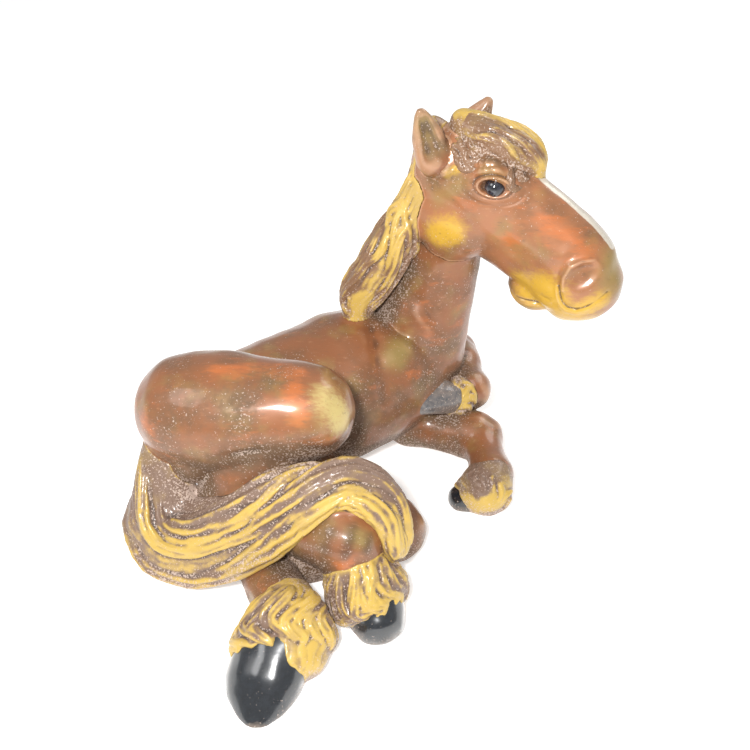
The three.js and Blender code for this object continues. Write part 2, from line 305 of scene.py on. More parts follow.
# each fold: places in mm, width in mm, height in mm
FLESH = [
    ([(-4, 93, 131), (1, 67, 118), (7, 49, 90)], 7, -2.2),
    ([(-14, 84, 134), (-9, 58, 122)], 8, 1.0),
    ([(15, 74, 116), (20, 84, 120)], 13, 2.8),
    ([(-50, -50, 120), (-30, -36, 118), (-18, -26, 124)], 6, -1.4),
    ([(-124, -45, 121), (-108, -50, 119), (-90, -52, 121)], 4, -3.2),
    ([(22, 103, 168), (40, 98, 150), (52, 96, 128)], 5, -1.3),
    ([(30, 104, 190), (50, 96, 172), (66, 92, 150)], 5, -1.1),
    ([(44, 100, 205), (60, 95, 192), (76, 95, 178)], 5, -0.9),
    ([(30, 98, 146), (44, 94, 134)], 5, 1.0),
    ([(38, 101, 178), (56, 94, 160)], 5, 1.0),
]
places = points(skin)
swell = sum(fold(places / MM, line, width, height) for line, width, height in FLESH)
set_points(skin, places + normals(skin) * (averaged(swell, edges(skin), 4) * MM)[:, None])
points_of_skin = points(skin)
normals_of_skin = normals(skin)
skin_tree = BVHTree.FromPolygons([Vector(p) for p in points_of_skin],
                                 [list(p.vertices) for p in skin.data.polygons])
print("folds:", len(FLESH), "from", round(float(swell.min()), 1), "to", round(float(swell.max()), 1), "mm")

# %% [markdown]
# The skin is cut back into sections along the old seams: each face goes to the section nearest to it.
# The zigzag cuts are slid over the surface until they run straight. The eyes get balls of their own.

# %% Cut the skin along the seams
def face_corners(piece):
    flat = np.empty(len(piece.data.loops), np.int32)
    piece.data.loops.foreach_get("vertex_index", flat)
    return flat.reshape(-1, 4)


quads = face_corners(skin)
names = list(SECTIONS)
for side in ("right", "left"):
    owner[owner == names.index("eye_" + side)] = names.index("head")
votes = np.sort(owner[quads], axis=1)
face_owner = np.where(votes[:, 1] == votes[:, 2], votes[:, 1], votes[:, 0])
pair_key = np.sort(np.stack([quads, np.roll(quads, -1, axis=1)], 2).reshape(-1, 2), axis=1)
pair_owner = np.repeat(face_owner, 4)
order = np.lexsort((pair_key[:, 1], pair_key[:, 0]))
firsts, seconds = order[0::2], order[1::2]
on_seam = pair_owner[firsts] != pair_owner[seconds]
seam_links = pair_key[firsts][on_seam]
places = points(skin)
straight = averaged(places, seam_links, 10)
on_edge = np.zeros(len(places), bool)
on_edge[seam_links.ravel()] = True
slide = np.where(on_edge[:, None], straight - places, 0)
facing = normals(skin)
slide -= (slide * facing).sum(1)[:, None] * facing
set_points(skin, places + slide)

used = sorted(set(face_owner.tolist()))
for index in used:
    skin.data.materials.append(bpy.data.materials.new(names[index] + "_mark"))
slot_of = {index: slot for slot, index in enumerate(used)}
skin.data.polygons.foreach_set("material_index", np.array([slot_of[i] for i in face_owner], np.int32))
pick(skin)
bpy.ops.object.mode_set(mode="EDIT")
bpy.ops.mesh.select_all(action="SELECT")
bpy.ops.mesh.separate(type="MATERIAL")
bpy.ops.object.mode_set(mode="OBJECT")
pieces = {}
for piece in list(bpy.context.selected_objects):
    marks = [m.name for m in piece.data.materials]
    node = names[used[piece.data.polygons[0].material_index]] if len(marks) > 1 else marks[0][:-5]
    pieces[node] = piece
    piece.data.materials.clear()
    piece.vertex_groups.clear()
print("pieces:", {node: len(piece.data.polygons) for node, piece in pieces.items()})

# %% [markdown]
# Every cut is closed with a cap, so that each section is one closed solid that meets its neighbours
# edge to edge, as a cast section does before it is welded.

# %% Cap the cuts
def capped(piece):
    pick(piece)
    bpy.ops.object.mode_set(mode="EDIT")
    bpy.ops.mesh.select_mode(type="EDGE")
    bpy.ops.mesh.select_all(action="DESELECT")
    bpy.ops.mesh.select_non_manifold(extend=False, use_wire=False, use_multi_face=False,
                                     use_non_contiguous=False, use_verts=False)
    bpy.ops.mesh.edge_face_add()
    bpy.ops.mesh.poke()
    bpy.ops.mesh.select_all(action="SELECT")
    bpy.ops.mesh.normals_make_consistent(inside=False)
    bpy.ops.object.mode_set(mode="OBJECT")


for node, piece in pieces.items():
    piece.name = "cast_" + node
    piece.data.name = piece.name
    capped(piece)
    pick(piece)
    bpy.ops.object.shade_smooth_by_angle(angle=math.radians(50))
print("capped:", len(pieces), "sections")

# %% [markdown]
# Hair on a bronze is modelled as locks: fluted rolls of wax, laid side by side and bent in a wave.
# Each lock here is a curve snapped to the skin and swept with one fluted outline, pointed at the ends.
# One fine net then covers the locks and the mass under them, so the hair is a single closed casting.

# %% The fluted outline of a lock
FLUTES = 7
FLUTE_DEPTH = 0.13
outline = bpy.data.curves.new("lock_outline", "CURVE")
outline.dimensions = "2D"
rim = outline.splines.new("POLY")
rim.points.add(FLUTES * 6 - 1)
rim.use_cyclic_u = True
for step, point in enumerate(rim.points):
    turn = math.tau * step / len(rim.points)
    reach = 1 + FLUTE_DEPTH * math.cos(FLUTES * turn)
    point.co = (reach * math.cos(turn), reach * math.sin(turn), 0, 1)
lock_outline = bpy.data.objects.new("lock_outline", outline)
print("lock outline:", len(rim.points), "points,", FLUTES, "flutes")


# %% [markdown]
# Rays go from the spine of a mass out to the skin, a little further round at each step. Hits on any
# other section are dropped, and the longest run of good hits is the lock. Comb marks wind likewise.

# %% Laying locks along a spine
def along(stations, share):
    spots = [Vector(station) * MM for station in stations]
    spots = [2 * spots[0] - spots[1]] + spots + [2 * spots[-1] - spots[-2]]
    at = min(max(share, 0), 0.9999) * (len(stations) - 1)
    first = int(at)
    t = at - first
    p0, p1, p2, p3 = spots[first:first + 4]
    return 0.5 * (2 * p1 + (p2 - p0) * t + (2 * p0 - 5 * p1 + 4 * p2 - p3) * t * t
                  + (3 * p1 - p0 - 3 * p2 + p3) * t * t * t)


GRIPS = {"forelock": ("forelock", "head")}


def on_skin(node, stations, share, turn, up, reach):
    middle = along(stations, share)
    tangent = (along(stations, share + 0.02) - along(stations, share - 0.02)).normalized()
    depth = (Vector(up) - Vector(up).dot(tangent) * tangent).normalized()
    width = tangent.cross(depth)
    ray = math.cos(turn) * width + math.sin(turn) * depth
    spot, normal, face, _ = skin_tree.ray_cast(middle, ray, reach * MM)
    grip = GRIPS.get(node, (node, node.replace("feather", "hoof")))
    if spot is None or names[face_owner[face]] not in grip:
        return None
    return spot, normal


def longest_run(found):
    runs = [[]]
    for item in found:
        if item is None:
            runs.append([])
        else:
            runs[-1].append(item)
    return max(runs, key=len)


def locks(node, stations, up, count, thick, swing=0.3, waves=1.0, twist=0.0, arc=(0, math.tau),
          reach=45, lift=0.1, spans=((0, 1),), seed=1):
    chance = random.Random(seed)
    curve = bpy.data.curves.new(node + "_locks", "CURVE")
    curve.dimensions = "3D"
    curve.bevel_mode = "OBJECT"
    curve.bevel_object = lock_outline
    curve.use_fill_caps = True
    for number in range(count):
        begin, end = spans[number % len(spans)]
        begin += chance.uniform(-0.05, 0.05)
        end += chance.uniform(-0.05, 0.05)
        phase = chance.uniform(-0.7, 0.7)
        girth = thick * chance.uniform(0.75, 1.25)
        lane = arc[0] + (arc[1] - arc[0]) * (number + 0.5) / count
        found = []
        for step in range(35):
            share = begin + (end - begin) * step / 34
            turn = lane + twist * (share - 0.5) + swing * math.sin(math.tau * waves * share + phase)
            found.append(on_skin(node, stations, share, turn, up, reach))
        run = longest_run(found)
        if len(run) < 8:
            continue
        spline = curve.splines.new("POLY")
        spline.points.add(len(run) - 1)
        for step, (point, (spot, normal)) in enumerate(zip(spline.points, run)):
            t = step / (len(run) - 1)
            body = max(0.08, math.sin(math.pi * t ** 0.85) ** 0.55)
            size = body * girth * MM
            point.co = (*(spot + normal * (lift * size - 0.5 * (1 - body) ** 2 * girth * MM)), 1)
            point.radius = size
            point.tilt = 2.6 * t
    holder = bpy.data.objects.new(node + "_locks", curve)
    scene.collection.objects.link(holder)
    pick(holder)
    bpy.ops.object.convert(target="MESH")
    return bpy.context.object


BANDS = 3


def strands(piece, stations, up, twist, swing, waves, fineness, depth):
    shares = np.linspace(-0.05, 1.05, 90)
    middles, widths, depths = [], [], []
    for share in shares:
        tangent = (along(stations, share + 0.02) - along(stations, share - 0.02)).normalized()
        rise = (Vector(up) - Vector(up).dot(tangent) * tangent).normalized()
        middles.append(along(stations, share))
        depths.append(rise)
        widths.append(tangent.cross(rise))
    middles, widths, depths = np.array(middles), np.array(widths), np.array(depths)
    places = points(piece)
    nearest = np.concatenate([((part[:, None] - middles[None]) ** 2).sum(2).argmin(1)
                              for part in np.array_split(places, 40)])
    away = places - middles[nearest]
    turn = np.arctan2((away * depths[nearest]).sum(1), (away * widths[nearest]).sum(1))
    share = averaged(shares[nearest], edges(piece), 8)
    flow = turn - twist * (share - 0.5) - swing * np.sin(math.tau * waves * share)
    wander = 0.5 * np.sin(places @ (190, 120, 160)) + 0.35 * np.sin(places @ (-310, 260, 240))
    comb_mark = 1 - 2 * np.abs(np.sin(fineness * flow / 2 + wander)) ** 0.7
    patchy = 0.6 + 0.4 * np.sin(places @ (140, -170, 150))
    paint(piece, "band", np.sin(BANDS * flow + 0.8 * wander + 0.6))
    set_points(piece, places - normals(piece) * (comb_mark * patchy * depth * MM)[:, None])


def combed(node, sets, net=1.0, fineness=26, depth=0.35):
    mass = pieces[node]
    hair = joined([mass] + [locks(node, **one) for one in sets], "cast_" + node)
    finish_with(hair, "DISPLACE", strength=0.3 * MM, mid_level=0)
    finish_with(hair, "REMESH", mode="VOXEL", voxel_size=net * MM, use_smooth_shade=True)
    hair = largest_lump(hair)
    first = sets[0]
    strands(hair, first["stations"], first["up"], first.get("twist", 0.0), first.get("swing", 0.3),
            first.get("waves", 1.0), fineness, depth)
    finish_with(hair, "SMOOTH", factor=0.5, iterations=1)
    hair.name = "cast_" + node
    pieces[node] = hair
    print(node, "hair net:", len(hair.data.polygons))
    return hair


# %% [markdown]
# The tail comes round the rump from behind, lies across the hind legs in an S and spills over the
# right fetlock. Its locks wind about two thirds of the way round the mass as they go, in two layers:
# broad ones below, and thinner ones proud of them.

# %% Tail
TAIL = [(-169, -17, 93), (-171, -51, 45), (-144, -64, 39), (-102, -71, 62), (-62, -71, 86),
        (-23, -66, 98), (4, -73, 81), (14, -82, 51)]
OUT_OF_TAIL = (0, -0.8, 0.6)
combed("tail", [
    dict(stations=TAIL, up=OUT_OF_TAIL, count=15, thick=8.6, swing=0.3, waves=1.5, twist=4.2, seed=3,
         lift=-0.1, spans=((-0.02, 0.6), (0.2, 0.85), (0.05, 0.75), (0.45, 1.04), (0.3, 1.02))),
    dict(stations=TAIL, up=OUT_OF_TAIL, count=13, thick=5.4, swing=0.4, waves=1.7, twist=4.4, seed=8,
         spans=((0.1, 0.55), (0.25, 0.75), (0.55, 1.04), (0.4, 0.95)), lift=0.15),
], net=1.1, fineness=26, depth=0.4)

# %% [markdown]
# The mane falls from the poll down the crest of the neck and ends in a point over the withers. Its
# locks are shorter than the tail's and overlap like shingles.

# %% Mane
MANE = [(44, 136, 296), (34, 131, 233), (15, 124, 201), (-11, 119, 157), (-19, 112, 129)]
combed("mane", [
    dict(stations=MANE, up=(-1, -0.4, 0), count=14, thick=5.2, swing=0.25, waves=2.0, twist=1.4, lift=0.0,
         reach=30, spans=((-0.02, 0.5), (0.1, 0.7), (0.3, 0.9), (0.45, 1.04)), seed=5),
    dict(stations=MANE, up=(-1, -0.4, 0), count=12, thick=3.6, swing=0.35, waves=2.4, twist=1.6,
         reach=30, spans=((0.0, 0.4), (0.2, 0.65), (0.55, 1.0), (0.4, 0.85)), lift=0.25, seed=6),
], net=0.95, fineness=24, depth=0.4)

# %% [markdown]
# The forelock sweeps forward between the ears and curls over the brow, in the head's own directions:
# ahead, leftward and upward. Short thin locks fill the gap to the ears and the eye, on the head too.

# %% Forelock
SKULL = np.array((71.3, 125.95, 249.0))
HEAD_TURN = math.radians(-20)
HEAD_DROP = math.radians(32)
ahead = np.array((math.cos(HEAD_TURN) * math.cos(HEAD_DROP), math.sin(HEAD_TURN) * math.cos(HEAD_DROP),
                  -math.sin(HEAD_DROP)))
leftward = np.array((-math.sin(HEAD_TURN), math.cos(HEAD_TURN), 0))
upward = np.cross(ahead, leftward)

FORELOCK = [(68, 127, 305), (91, 119, 297), (111, 114, 290), (123, 110, 279), (126, 109, 269)]
POLL_TO_BROW = [tuple(SKULL + x * ahead + 10 * upward) for x in (-36, -18, 0, 20, 40)]
combed("forelock", [
    dict(stations=FORELOCK, up=(0.5, -0.2, 0.85), count=12, thick=4.0, swing=0.25, waves=1.0, twist=0.9,
         reach=30, spans=((0.0, 0.7), (0.15, 0.98), (0.3, 0.94)), seed=4, lift=-0.15),
    dict(stations=FORELOCK, up=(0.5, -0.2, 0.85), count=9, thick=2.8, swing=0.4, waves=1.4, twist=1.4,
         reach=30, spans=((0.1, 0.6), (0.35, 0.9)), lift=0.15, seed=9),
    dict(stations=POLL_TO_BROW, up=tuple(upward), count=11, thick=3.6, swing=0.22, waves=2.2, reach=42,
         lift=0.0, arc=(math.radians(56), math.radians(118)), spans=((0.0, 0.6), (0.2, 0.95), (0.1, 0.8)),
         seed=12),
    dict(stations=POLL_TO_BROW, up=tuple(upward), count=5, thick=3.2, swing=0.15, waves=2.0, reach=42,
         lift=0.0, arc=(math.radians(36), math.radians(56)), spans=((0.02, 0.42), (0.1, 0.5)), seed=15),
], net=0.8, fineness=22, depth=0.4)

# %% [markdown]
# The feathers are the long hair of the fetlocks. Each one spreads down from the leg like a skirt and
# hangs over the top of its hoof, so its locks may run on from the feather on to the hoof.

# %% Feathers over the hooves
def middle_of(node):
    return np.mean([vertex.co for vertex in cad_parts[node].data.vertices], axis=0) / MM


left_fetlock = middle_of("fore_feather_left")
left_toe = middle_of("fore_hoof_left")
LEFT_FEATHER = [tuple(left_fetlock + step * (left_toe - left_fetlock)) for step in (-0.5, 0, 0.6)]
FEATHERS = {
    "hind_feather_right": dict(
        stations=[(-25, -79, 59), (-19, -92, 45), (-5, -104, 21), (0, -112, 12)], up=(-0.5, -0.6, 0.6),
        count=22, thick=5.0, swing=0.25, waves=1.4, reach=42, spans=((0.2, 1.0), (0.35, 1.02), (0.25, 0.8))),
    "hind_feather_left": dict(
        stations=[(-71, -113, 24), (-69, -124, 23), (-67, -140, 18), (-66, -152, 14)], up=(-0.3, 0, 1),
        count=22, thick=5.2, swing=0.25, waves=1.3, reach=42, spans=((0.1, 1.0), (0.3, 1.05), (0.15, 0.8))),
    "fore_feather_right": dict(
        stations=[(99, 26, 21), (95, 16, 18), (89, 2, 14)], up=(0, 0, 1), count=14, thick=2.6, swing=0.2,
        waves=1.2, reach=32, spans=((0.45, 0.98), (0.55, 1.0))),
    "fore_feather_left": dict(
        stations=LEFT_FEATHER, up=(0, 0, 1), count=14, thick=3.0, swing=0.2,
        waves=1.2, reach=28, spans=((0.2, 0.9), (0.35, 1.0))),
}
for node, layout in FEATHERS.items():
    combed(node, [dict(layout, seed=len(node), lift=0.0),
                  dict(layout, count=layout["count"] - 8, thick=0.7 * layout["thick"], lift=0.3,
                       swing=0.4, seed=len(node) + 7)], net=0.95, fineness=22, depth=0.35)
print("feathers combed:", len(FEATHERS))

# %% [markdown]
# A cap is a fan of edges that meet at one point, and no point of the skin has so many. That tells the
# cap from the skin. Smoothing and wear fade out towards it, so that neighbours still meet.

# %% Fade towards the seams
MOST_SKIN_SPOKES = 12


def cap_edges(piece):
    found = edges(piece)
    spokes = np.bincount(found.ravel(), minlength=len(piece.data.vertices))
    return found, (spokes > MOST_SKIN_SPOKES)[found].any(axis=1)


def seam_fade(piece):
    found, at_cap = cap_edges(piece)
    rim = np.zeros(len(piece.data.vertices))
    rim[found[at_cap].ravel()] = 1
    return 1 - np.clip(3 * averaged(rim, found, 14), 0, 1)


print("faded points of the head:", int((seam_fade(pieces["head"]) < 1).sum()))

# %% [markdown]
# The face carries the finest modelling, so its net is divided once more. Grooves and folds are then
# pressed in or raised along lines of places, on both sides of the face at once.

# %% A finer net for the face
head = pieces["head"]
pick(head)
bpy.ops.object.mode_set(mode="EDIT")
bpy.ops.mesh.select_all(action="SELECT")
bpy.ops.mesh.subdivide(number_cuts=1, smoothness=0)
bpy.ops.object.mode_set(mode="OBJECT")
weigh(head, "open", seam_fade(head))
finish_with(head, "SMOOTH", factor=0.5, iterations=2, vertex_group="open")
print("finer head net:", len(head.data.polygons), "faces")


def in_head(places):
    away = places / MM - SKULL
    return np.stack([away @ ahead, away @ leftward, away @ upward], axis=1)


def sculpt(rises):
    places = points(head)
    spots = in_head(places)
    spots[:, 1] = -abs(spots[:, 1])
    rise = rises(spots)
    set_points(head, places + normals(head) * (rise * MM)[:, None])
    print(rises.__name__, "rise by", round(float(rise.min()), 2), "to", round(float(rise.max()), 2), "mm")


# %% [markdown]
# The broad forms come first: the swell of the muzzle, the cheekbone, the hollow under it, the lips and
# the chin. Each is one soft ridge or valley with its own width.

# %% Cheek, muzzle and jaw
def big_forms(spots):
    rise = fold(spots, [(126, -20, -2), (134, -12, 12)], 12, 1.5)
    rise += fold(spots, [(60, -24, 8), (92, -24, 16)], 9, 1.4)
    rise += fold(spots, [(30, -30, 10), (62, -28, -2)], 8, -1.2)
    rise += fold(spots, [(88, -24, -10), (100, -28, -4)], 8, -1.6)
    rise += fold(spots, [(112, -25, -24), (134, -14, -18)], 11, 2.2)
    rise += fold(spots, [(88, -8, -50), (104, -6, -50)], 9, 1.5)
    return rise


sculpt(big_forms)


# %% [markdown]
# Then come the fine forms: the deep nostril with its raised rim, the line of the mouth with the lip
# rolled under it, and the gap between the chin and the jaw.

# %% Nostril and mouth
def fine_forms(spots):
    nostril = np.linalg.norm((spots - (115, -27, 19)) / (9, 14, 12), axis=1)
    rise = -3.6 * np.exp(-nostril ** 4)
    rise += fold(spots, [(123, -22, 32), (114, -22, 33), (107, -25, 27), (102, -28, 18), (104, -31, 8),
                         (110, -32, 0)], 2.6, 2.2)
    rise += fold(spots, [(97, -28, 26), (95, -30, 14), (101, -32, 2)], 3.0, -1.1)
    mouth = [(106, -31, -1), (111, -31, -6), (118, -29, -11), (124, -28, -12), (130, -28, -9), (135, -27, 0),
             (137, -24, 9), (139, -20, 16), (141, -10, 21), (142, 0, 22)]
    rise += fold(spots, mouth, 1.5, -2.4)
    rise += fold(spots, [(x + 2, y, z - 4) for x, y, z in mouth], 2.4, 0.9)
    gap = [(84, -8, -46), (90, -12, -46), (95, -15, -43), (101, -16, -39), (106, -15, -35), (109, -6, -33),
           (109, 0, -33)]
    rise += fold(spots, gap, 2.2, -4.0)
    rise += fold(spots, [(108, -28, -17), (100, -27, -22), (92, -24, -28)], 2.0, -0.9)
    return rise


sculpt(fine_forms)

# %% [markdown]
# The eye is a glossy black ball set in an almond of lids: a sharp upper lid, a soft lower one with a
# bag under it, and wrinkles that follow the upper lid outwards. All of them are rings round the eye,
# told apart by how far out they lie. The brow above is roughed up as short hair.

# %% Eyelids and brow
EYE = np.array((16.5, -25.0, 30.5))
eye_out = np.array((0.12, -0.93, 0.34))
eye_out /= np.linalg.norm(eye_out)
lid_along = np.array((0.86, 0.2, 0.46))
lid_along -= (lid_along @ eye_out) * eye_out
lid_along /= np.linalg.norm(lid_along)
lid_up = np.cross(eye_out, lid_along)
lid_up *= np.sign(lid_up[2])


def lids(spots):
    away = spots - EYE
    across, above, out = away @ lid_along + 1.5, away @ lid_up, away @ eye_out
    tall = np.where(above > 0, 7.6, 6.4)
    ring = np.sqrt((across / 11) ** 2 + (above / tall) ** 2)
    upper = 1 / (1 + np.exp(-above / 1.2))
    lower = 1 - upper
    outer = 1 / (1 + np.exp((across - 2) / 4))
    rise = -4.4 / (1 + np.exp((ring - 0.9) * 16))
    rise += np.exp(-((ring - 1.12) / 0.14) ** 2) * (1.5 + 1.2 * upper)
    rise += np.exp(-((ring - 1.45) / 0.14) ** 2) * (-0.4 - 0.5 * upper)
    rise += np.exp(-((ring - 1.8) / 0.25) ** 2) * (0.6 * upper + 0.5 * lower * outer)
    rise += np.exp(-((ring - 2.3) / 0.2) ** 2) * -0.5 * lower
    for number in range(2):
        rise += upper * outer * np.exp(-((ring - 2.25 - 0.7 * number) / 0.2) ** 2) * -0.7
    near = np.exp(-(np.clip(abs(out) - 9, 0, None) / 6) ** 2)
    return rise * near * np.where(ring < 4, 1, 0)


def brow_hair(spots):
    mass = np.exp(-(((spots - (6, -14, 46)) / (30, 20, 15)) ** 2).sum(1) ** 2)
    mass *= 1 / (1 + np.exp(-(np.linalg.norm(spots - EYE, axis=1) - 15) / 1.5))
    flow = 0.75 * spots[:, 1] - 0.85 * spots[:, 2] + 1.6 * np.sin(0.16 * spots[:, 0] + 0.1 * spots[:, 1])
    clumps = 1 - 2 * np.abs(np.sin(0.75 * flow)) ** 0.8
    rise = mass * (1.9 + 0.55 * clumps + 0.4 * np.sin(spots @ (0.31, 0.4, 0.22)))
    rise += fold(spots, [(-21, -27, 14), (-15, -27, 24), (-12, -26, 32)], 3.6, 2.6)
    return rise


sculpt(lids)
sculpt(brow_hair)
finish_with(head, "SMOOTH", factor=0.4, iterations=1, vertex_group="open")
pick(head)
bpy.ops.object.shade_smooth_by_angle(angle=math.radians(60))
print("head net:", len(head.data.polygons), "faces")

# %% [markdown]
# An ear is a leaf of wax with a dish pressed into its face. The dish is widest at the root, narrows
# towards the tip and leaves a rounded rim all round.

# %% Ear hollows
EAR_DISH = 4.5
EARS = {"ear_right": ((-33, -22, 14), (-0.7, -0.16, 0.68), -0.74),
        "ear_left": ((-24, 22, 14), (-0.06, 0.2, 0.94), 0.74)}
for name, (root, rise, lean) in EARS.items():
    ear = pieces[name]
    places = points(ear)
    away = in_head(places) - root
    rise = np.array(rise) / np.linalg.norm(rise)
    out = np.array((0, lean, 0.67))
    out -= (out @ rise) * rise
    out /= np.linalg.norm(out)
    up, across = away @ rise, away @ np.cross(rise, out)
    dish = np.exp(-(((up - 24) / 17) ** 4)) * np.exp(-((across / (9.5 - 0.13 * np.clip(up, 0, 50))) ** 4))
    dish *= 1 / (1 + np.exp(-(away @ out) / 1.2))
    push = -out[0] * ahead - out[1] * leftward - out[2] * upward
    set_points(ear, places + (EAR_DISH * MM * dish)[:, None] * push)
    print(name, "dished by", round(EAR_DISH * float(dish.max()), 1), "mm")

# %% [markdown]
# The eyes are separate balls, lacquered and set in after casting. Each sits a little behind the rims
# of its lids, looking out and slightly up.

# %% Glossy eyes
EYE_RADIUS = 8.2
EYE_SINK = 2.2
for side, name in ((1, "eye_right"), (-1, "eye_left")):
    seat = (EYE - EYE_SINK * eye_out) * (1, side, 1)
    middle = (SKULL + seat[0] * ahead + seat[1] * leftward + seat[2] * upward) * MM
    bpy.ops.mesh.primitive_uv_sphere_add(segments=48, ring_count=24, radius=EYE_RADIUS * MM, location=middle)
    ball = bpy.context.object
    ball.name = name + "_ball"
    bpy.ops.object.transform_apply(location=True, rotation=True, scale=True)
    bpy.ops.object.shade_smooth()
    pieces[name] = ball
    print(name, "middle at", [round(float(part) / MM, 1) for part in middle], "mm")

# %% [markdown]
# The figure stands on a bench, so whatever dips below the bench is pressed flat on it.

# %% Press the feet flat
BENCH_GAP = 0.05 * MM
for piece in pieces.values():
    places = points(piece)
    places[:, 2] = np.maximum(places[:, 2], BENCH_GAP)
    set_points(piece, places)
lowest = min(float(points(piece)[:, 2].min()) for piece in pieces.values())
print("lowest point:", round(lowest / MM, 2), "mm")

# %% [markdown]
# A patina follows the form: dust settles where little light reaches, raised locks are rubbed bright and
# grooves stay dark. So every point is measured for how closed in it is and how far it stands proud. How
# closed in a point is also darkens its colour later, as painted shade.

# %% Measure shelter and relief
LOOKS = 26
SHELTER_REACH = 55 * MM
chance = random.Random(11)
rays = []
while len(rays) < LOOKS:
    ray = Vector((chance.uniform(-1, 1), chance.uniform(-1, 1), chance.uniform(-1, 1)))
    if 0.1 < ray.length < 1:
        rays.append(ray.normalized())
net_places = [Vector(p) for p in points_of_skin]
shelter_tree = KDTree(len(net_places[::9]))
shelter_values = []
for number, index in enumerate(range(0, len(net_places), 9)):
    spot, out = net_places[index], Vector(normals_of_skin[index])
    closed = 0
    total = 0
    start = spot + out * MM
    for ray in rays:
        if ray.dot(out) < 0.05:
            ray = ray - 2 * ray.dot(out) * out
        weight = ray.dot(out)
        total += weight
        if start.z + ray.z * SHELTER_REACH < 0 or skin_tree.ray_cast(start, ray, SHELTER_REACH)[0]:
            closed += weight
    shelter_values.append(closed / max(total, 1e-6))
    shelter_tree.insert(spot, number)
shelter_tree.balance()
shelter_values = np.array(shelter_values)
print("shelter:", round(float(shelter_values.min()), 2), "to", round(float(shelter_values.max()), 2))


def skin_links(piece):
    found, at_cap = cap_edges(piece)
    return found[~at_cap]


def shelter(piece):
    found = [shelter_tree.find_n(Vector(p), 3) for p in points(piece)]
    nearest = np.array([[hit[1] for hit in row] for row in found])
    return averaged(shelter_values[nearest].mean(axis=1), skin_links(piece), 6)


def relief(piece, rounds):
    places = points(piece)
    proud = ((places - averaged(places, skin_links(piece), rounds)) * normals(piece)).sum(1) / MM
    return proud * seam_fade(piece)


HAIR = ("tail", "mane", "forelock", *FEATHERS)
for node, piece in pieces.items():
    if node.startswith("eye"):
        continue
    paint(piece, "shelter", shelter(piece))
    paint(piece, "relief", relief(piece, 45 if node in HAIR else 24))
print("measured:", len(pieces), "pieces")

# %% [markdown]
# Over the brown ground the patineur airbrushed colour: gold on the cheeks and the muzzle, olive on the
# shoulder and the fetlock, ember red along the haunch, a white blaze down the nose. Each spot is a place on
# the figure, a reach and a strength, and is kept with the points of the piece. One more set of spots is
# painted shade: it darkens the haunches, the barrel, the chest, the hind legs and the neck under the mane
# and takes the gloss off them. On the face the same set gives the brow and the forehead a dusty brown.

# %% Airbrushed spots
# each spot: places in mm, reach in mm, strength
BODY_SPRAYS = {
    "gold": [
        ([(-40, -29, 153), (-32, -33, 147), (-25, -37, 138)], 15, 0.85),
        ([(-24, -100, 70), (-12, -98, 78)], 9, 0.35),
        ([(104, 2, 24), (92, -6, 25)], 12, 0.6),
    ],
    "olive": [
        ([(15, 74, 116), (20, 82, 120)], 15, 0.9),
        ([(42, 112, 286), (34, 109, 312)], 13, 0.7),
        ([(-17, -98, 82), (-10, -96, 74)], 10, 0.8),
        ([(-60, -47, 150), (-30, -44, 128)], 14, 0.35),
        ([(70, 90, 150), (70, 90, 190)], 14, 0.4),
    ],
    "ember": [
        ([(-120, -14, 172), (-85, -12, 170), (-60, -14, 168)], 12, 0.75),
        ([(-62, -30, 163), (-58, -46, 150)], 12, 0.8),
        ([(-45, -50, 128), (-28, -42, 122)], 9, 0.85),
        ([(-180, -26, 140), (-170, -34, 130)], 16, 0.5),
        ([(-26, -107, 60), (-20, -106, 64)], 7, 0.9),
        ([(28, 74, 100), (34, 80, 96)], 10, 0.7),
        ([(80, 90, 175), (82, 95, 150), (76, 95, 130)], 16, 0.7),
        ([(40, 96, 150), (46, 96, 120)], 12, 0.5),
    ],
    "blaze": [],
    # painted shade: these spots darken the body and take the gloss off
    "dull": [
        ([(-150, -30, 140), (-108, -36, 160), (-84, -24, 164)], 26, 0.9),
        ([(-135, -45, 100), (-95, -52, 119), (-50, -52, 112)], 20, 1.0),
        ([(-14, 35, 79), (15, 60, 80), (40, 84, 76)], 26, 0.9),
        ([(-140, -40, 84), (-60, -40, 86)], 24, 1.0),
        ([(60, 96, 110), (80, 110, 80)], 24, 0.5),
        ([(-60, -110, 40), (-30, -100, 50), (-40, -80, 70)], 22, 0.8),
        ([(42, 112, 290), (34, 109, 315)], 16, 0.8),
    ],
}
FACE_SPRAYS = {
    "gold": [
        ([(10, -32, -21), (6, -30, -28)], 16, 0.95),
        ([(-19, -27, 16), (-14, -27, 27), (-12, -26, 32)], 5, 0.9),
        ([(104, -26, -18), (122, -22, -26), (136, -8, -20)], 24, 1.1),
        ([(86, -24, -26), (98, -20, -32)], 17, 0.95),
        ([(92, 0, -50), (106, 0, -50)], 15, 0.9),
        ([(138, -22, 6), (132, -27, -8)], 12, 0.9),
    ],
    "olive": [
        ([(136, -12, 16), (128, -8, 34)], 18, 0.9),
        ([(88, -10, -48), (100, -10, -52)], 16, 0.7),
        ([(-12, -26, -6), (-8, -28, 16)], 13, 0.6),
        ([(20, -28, 44), (2, -28, 38)], 9, 0.55),
    ],
    "ember": [
        ([(60, -24, 34), (90, -22, 36), (104, -20, 34)], 13, 0.75),
        ([(46, -28, 14), (60, -28, -2)], 14, 0.6),
        ([(50, -26, 22), (96, -26, 16)], 22, 0.42),
        ([(2, -33, 4), (12, -32, 8)], 8, 0.6),
    ],
    "blaze": [([(34, 0, 50), (64, 0, 50), (104, 0, 45), (118, 0, 41)], 5.5, 1.0)],
    # these spots give the brow and the forehead a dusty brown and take the gloss off
    "dull": [
        ([(-14, -20, 40), (32, -18, 42)], 15, 0.7),
        ([(-22, -26, 0), (-18, -28, 20)], 10, 0.8),
        ([(-12, 0, 52), (10, 0, 52)], 14, 0.9),
    ],
}
